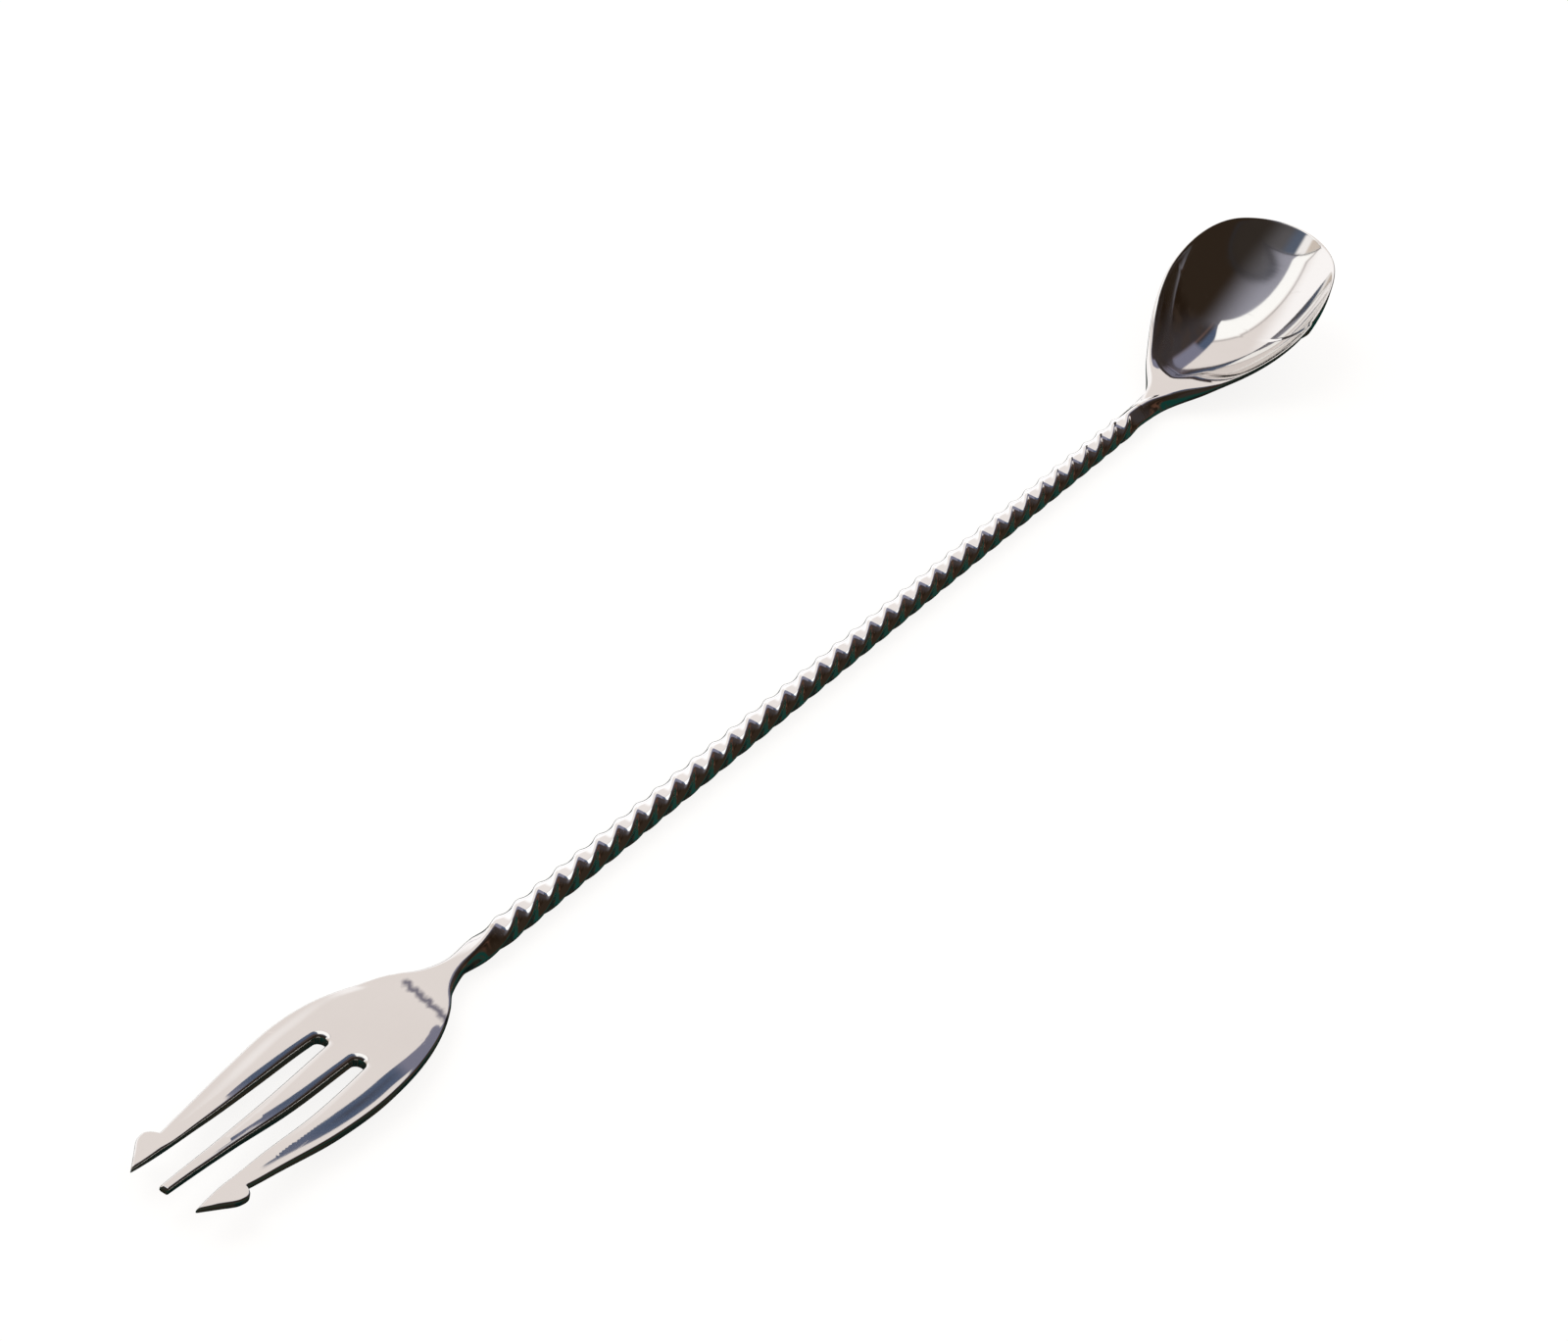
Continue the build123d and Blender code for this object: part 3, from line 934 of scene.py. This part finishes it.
def dark_room(nodes, x, y, z, lean, soft):
    """The -Y side, and the pale space overhead."""
    room = nodes.blend(nodes.ramp(y, -0.22, -0.62), ROOM_NEAR, ROOM_FAR)
    patches = nodes.math("MULTIPLY", nodes.ramp(soft, 0.45, 0.7), 0.4)
    room = nodes.blend(patches, room, ROOM_PATCHES)
    shelf = nodes.math("MULTIPLY", nodes.ramp(z, 0.42, 0.10), nodes.ramp(soft, 0.40, 0.58))
    room = nodes.blend(shelf, room, ROOM_SHELF)
    room = nodes.blend(nodes.band(y, -0.085, 0.035), room, ROOM_BROWN_LINE)
    room = nodes.blend(nodes.ramp(y, -0.06, 0.02), room, ROOM_SLATE)
    strip = nodes.math("MULTIPLY", nodes.ramp(x, 0.56, 0.64), nodes.ramp(y, -0.14, -0.05))
    room = nodes.blend(strip, room, ROOM_STRIP)
    overhead = nodes.blend(nodes.ramp(y, -0.42, 0.42), OVERHEAD_DARK, OVERHEAD_PALE)
    return nodes.blend(nodes.ramp(lean, 0.32, 0.08), room, overhead)


def with_tent(nodes, room, x, y, z, lean):
    """The room with the tent on its +Y side, which has one dark seam."""
    bright = nodes.math("MAXIMUM", nodes.ramp(y, 0.62, 0.86), nodes.ramp(z, 0.34, 0.12))
    tent = nodes.blend(bright, TENT_GREY, TENT_WHITE)
    seam = nodes.sheared(y, 0.65, x)
    tent = nodes.blend(nodes.ramp(seam, 0.50, 0.44), tent, TENT_BACK)
    tent = nodes.blend(nodes.math("MULTIPLY", nodes.band(seam, 0.50, 0.03), 0.6), tent, TENT_SEAM)
    hem = nodes.math("SUBTRACT", y, nodes.ramp(x, 0.115, 0.42, 0.0, 0.126))
    in_tent = nodes.math("MULTIPLY", nodes.ramp(hem, -0.012, 0.014), nodes.ramp(lean, 0.105, 0.125))
    return nodes.blend(in_tent, room, tent)


def with_far_end(nodes, room, x, y):
    """The room with what lies at its -X end, behind a curved border."""
    far_end = nodes.blend(nodes.ramp(y, -0.45, 0.10), BEHIND_DARK, BEHIND_GREY)
    far_end = nodes.blend(nodes.ramp(y, 0.08, 0.34), far_end, BEHIND_SLATE)
    far_end = nodes.blend(nodes.ramp(x, -0.28, -0.60), far_end, BEHIND_FAR)
    far_end = nodes.blend(nodes.ramp(y, 0.42, 0.50), far_end, BEHIND_CARD)
    far_end = nodes.blend(nodes.ramp(y, 0.60, 0.66), far_end, BEHIND_WALL)
    border = nodes.sheared(nodes.math("MULTIPLY", y, y), -0.22, x)
    room = nodes.blend(nodes.band(border, -0.165, 0.012), room, BEHIND_BORDER)
    return nodes.blend(nodes.ramp(border, -0.165, -0.182), room, far_end)


def with_cloth(nodes, room, x, y, z, soft):
    """The room with the green cloth below its horizon, which lies lower on the tent's side."""
    cloth = nodes.blend(nodes.ramp(z, -0.35, -0.60), CLOTH_GREEN, CLOTH_BELOW)
    brown = nodes.math("MULTIPLY", nodes.ramp(soft, 0.48, 0.60), 0.6)
    cloth = nodes.blend(brown, cloth, CLOTH_BROWN)
    tent_side = nodes.sheared(x, -0.2, y)
    horizon = nodes.sheared(nodes.ramp(tent_side, 0.0, 0.12), 0.36, z)
    line = nodes.math("MULTIPLY", nodes.band(z, -0.03, 0.03), nodes.ramp(tent_side, 0.1, 0.2))
    room = nodes.blend(nodes.math("MULTIPLY", line, 0.7), room, HORIZON_VIOLET)
    return nodes.blend(nodes.ramp(horizon, 0.04, -0.06), room, cloth)


def surroundings():
    """The dome's material."""
    nodes = Nodes("surroundings")
    away = nodes.add("ShaderNodeVectorMath", operation="NORMALIZE")
    nodes.put(away.inputs[0], nodes.add("ShaderNodeTexCoord").outputs["Object"])
    split = nodes.add("ShaderNodeSeparateXYZ")
    nodes.put(split.inputs[0], away.outputs[0])
    x, y, z = split.outputs
    noise = nodes.add("ShaderNodeTexNoise")
    noise.inputs["Scale"].default_value = 5.0
    nodes.put(noise.inputs["Vector"], away.outputs[0])
    soft = noise.outputs["Fac"]
    lean = nodes.sheared(y, 0.4, x)
    room = dark_room(nodes, x, y, z, lean, soft)
    room = with_tent(nodes, room, x, y, z, lean)
    room = with_far_end(nodes, room, x, y)
    room = with_cloth(nodes, room, x, y, z, soft)
    return glow(nodes, room)


DOME_RADIUS = 1.3               # metres
DOME_X = 0.14                   # its middle is under the bowl, which mirrors most of it


def build_dome():
    """The sphere that the steel mirrors."""
    work = bmesh.new()
    bmesh.ops.create_icosphere(work, subdivisions=5, radius=DOME_RADIUS)
    bmesh.ops.reverse_faces(work, faces=work.faces)
    mesh = bpy.data.meshes.new("studio_dome")
    work.to_mesh(mesh)
    work.free()
    dome = bpy.data.objects.new("studio_dome", mesh)
    dome.location = (DOME_X, 0, 0)
    bpy.context.scene.collection.objects.link(dome)
    mesh.materials.append(surroundings())
    reflected_only(dome)


def reflected_only(obj):
    """A studio card that shows in the steel and nowhere else."""
    obj.visible_camera = False
    obj.visible_diffuse = False
    obj.visible_shadow = False
    obj.visible_transmission = False


WORLD_COLOUR = (1.0, 0.985, 0.96, 1)
FLOOR_HALF_SIZE = 6.0           # metres
FLOOR_COLOUR = (0.12, 0.12, 0.12, 1)
FLOOR_GLOW = (1.0, 0.99, 0.98, 1)
FLOOR_GLOW_STRENGTH = 0.87      # so strong that the floor hardly shows a shadow
KEY_PLACE = (-0.4, 0.9, 1.6)    # metres
KEY_SIZE = 1.2
KEY_POWER = 14.0                # watts


def build_stage():
    """The soft light from all round and the pale floor, which the steel does not mirror."""
    world = bpy.data.worlds.new("studio")
    bpy.context.scene.world = world
    world.use_nodes = True
    background = world.node_tree.nodes["Background"]
    background.inputs["Color"].default_value = WORLD_COLOUR
    background.inputs["Strength"].default_value = 1.0
    bpy.context.scene.view_settings.view_transform = "Standard"
    reach = FLOOR_HALF_SIZE / MM
    corners = [(-reach, -reach), (reach, -reach), (reach, reach), (-reach, reach)]
    floor = make_mesh("floor", [(x, y, cad_low.z / MM) for x, y in corners], [(0, 1, 2, 3)])
    nodes = Nodes("pale_floor")
    shader = nodes.tree.nodes["Principled BSDF"]
    shader.inputs["Base Color"].default_value = FLOOR_COLOUR
    shader.inputs["Roughness"].default_value = 0.9
    shader.inputs["Emission Color"].default_value = FLOOR_GLOW
    shader.inputs["Emission Strength"].default_value = FLOOR_GLOW_STRENGTH
    floor.data.materials.append(nodes.material)
    floor.visible_glossy = False


def build_lights():
    """One large soft lamp above the far side, which the steel does not mirror."""
    data = bpy.data.lights.new("key", "AREA")
    data.shape = "DISK"
    data.size = KEY_SIZE
    data.energy = KEY_POWER
    light = bpy.data.objects.new("key", data)
    bpy.context.scene.collection.objects.link(light)
    light.location = KEY_PLACE
    light.rotation_mode = "QUATERNION"
    light.rotation_quaternion = (-light.location).to_track_quat("-Z", "Y")
    light.visible_glossy = False


# ---------------------------------------------------------------- build
build_camera()
build_stage()
build_lights()
build_dome()
DARK_STEEL = (0.82, 0.80, 0.785)
PALE_STEEL = (0.88, 0.865, 0.85)
# the fork's colour carries a painted reflection: a dark streak across its neck
fork_steel = polished_steel("fork_steel", (120, 6000, 6000), DARK_STEEL, PALE_STEEL, painted_reflection=painted_neck_reflection)
shank_steel = polished_steel(
    "shank_steel", (700, 2500, 2500), dark=(0.92, 0.92, 0.92), pale=(0.98, 0.98, 0.98),
    grain=0.04, line_strength=0.04,
)
bowl_steel = polished_steel(
    "bowl_steel", (2600, 260, 900), DARK_STEEL, PALE_STEEL, grain=0.035, line_strength=0.03,
)
weld_steel = polished_steel(
    "weld_steel", (7000, 300, 300), dark=(0.72, 0.66, 0.58), pale=(0.82, 0.78, 0.73),
    grain=0.11, line_strength=0.12,
)

pieces = {
    "fork": (build_fork(), fork_steel, "polished_steel"),
    "fork_weld": (build_bar("fork_weld_seam", FORK_ROOT, shank_low.x), weld_steel, "weld_steel"),
    "shank": (build_bar("twisted_shank", shank_low.x, shank_high.x), shank_steel, "polished_steel"),
    "bowl_weld": (build_bar("bowl_weld_seam", shank_high.x, BOWL_ROOT), weld_steel, "weld_steel"),
    "bowl": (build_bowl(), bowl_steel, "polished_steel"),
}
for node, (piece, steel, slot) in pieces.items():
    piece.data.materials.append(steel)
    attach(piece, "root")
    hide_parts(node)
